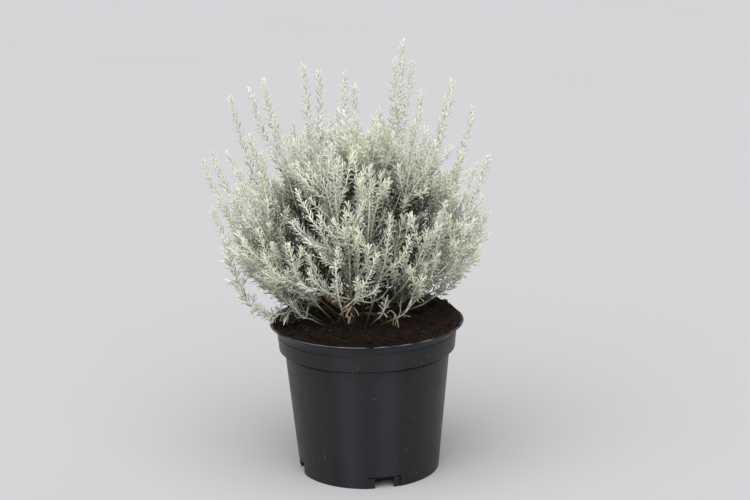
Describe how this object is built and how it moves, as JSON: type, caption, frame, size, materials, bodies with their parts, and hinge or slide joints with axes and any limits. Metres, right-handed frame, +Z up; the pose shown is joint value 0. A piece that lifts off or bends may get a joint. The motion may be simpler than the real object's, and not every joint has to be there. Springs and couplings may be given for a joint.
{
  "type": "potted curry plant",
  "caption": "Silvery curry plant, a dense dome of upright needle-leaved shoots from a woody crown, standing in soil in a tapered nursery pot with a rolled rim.",
  "frame": {"origin": "middle of the pot's underside, on the surface that the pot stands on", "axes": "+Z up along the pot's axis, -Y towards the side seen in front, +X to its right"},
  "size_m": [0.2844, 0.2613, 0.425],
  "materials": {
    "black_plastic": "thin injection-moulded black plastic with a slight bluish cast, satin, with fine scuffs and dust",
    "potting_soil": "damp dark peat compost with crumbs, brown fibres and a few green patches of algae",
    "old_wood": "bare reddish-brown woody stems with pale flaking bark",
    "leafy_shoots": "pale silvery grey-green needle leaves and stems covered in fine white felt"
  },
  "bodies": {
    "root": {"nursery_pot": "black_plastic", "potting_soil": "potting_soil", "woody_crown": "old_wood", "leafy_stem_01": "leafy_shoots", "leafy_stem_02": "leafy_shoots", "leafy_stem_03": "leafy_shoots", "leafy_stem_04": "leafy_shoots", "leafy_stem_05": "leafy_shoots", "leafy_stem_06": "leafy_shoots", "leafy_stem_07": "leafy_shoots", "leafy_stem_08": "leafy_shoots", "leafy_stem_09": "leafy_shoots", "leafy_stem_10": "leafy_shoots", "leafy_stem_11": "leafy_shoots", "leafy_stem_12": "leafy_shoots", "leafy_stem_13": "leafy_shoots", "leafy_stem_14": "leafy_shoots", "leafy_stem_15": "leafy_shoots", "leafy_stem_16": "leafy_shoots", "leafy_stem_17": "leafy_shoots", "leafy_stem_18": "leafy_shoots", "leafy_stem_19": "leafy_shoots", "leafy_stem_20": "leafy_shoots", "leafy_stem_21": "leafy_shoots", "leafy_stem_22": "leafy_shoots", "leafy_stem_23": "leafy_shoots", "leafy_stem_24": "leafy_shoots", "leafy_stem_25": "leafy_shoots", "leafy_stem_26": "leafy_shoots", "leafy_stem_27": "leafy_shoots", "leafy_stem_28": "leafy_shoots", "leafy_stem_29": "leafy_shoots", "leafy_stem_30": "leafy_shoots", "leafy_stem_31": "leafy_shoots", "leafy_stem_32": "leafy_shoots", "leafy_stem_33": "leafy_shoots", "leafy_stem_34": "leafy_shoots", "leafy_stem_35": "leafy_shoots", "leafy_stem_36": "leafy_shoots", "leafy_stem_37": "leafy_shoots", "leafy_stem_38": "leafy_shoots", "leafy_stem_39": "leafy_shoots", "leafy_stem_40": "leafy_shoots", "leafy_stem_41": "leafy_shoots", "leafy_stem_42": "leafy_shoots", "leafy_stem_43": "leafy_shoots", "leafy_stem_44": "leafy_shoots", "leafy_stem_45": "leafy_shoots", "leafy_stem_46": "leafy_shoots", "leafy_stem_47": "leafy_shoots", "leafy_stem_48": "leafy_shoots", "leafy_stem_49": "leafy_shoots", "leafy_stem_50": "leafy_shoots", "leafy_stem_51": "leafy_shoots", "leafy_stem_52": "leafy_shoots", "leafy_stem_53": "leafy_shoots", "leafy_stem_54": "leafy_shoots"}
  },
  "joints": []
}
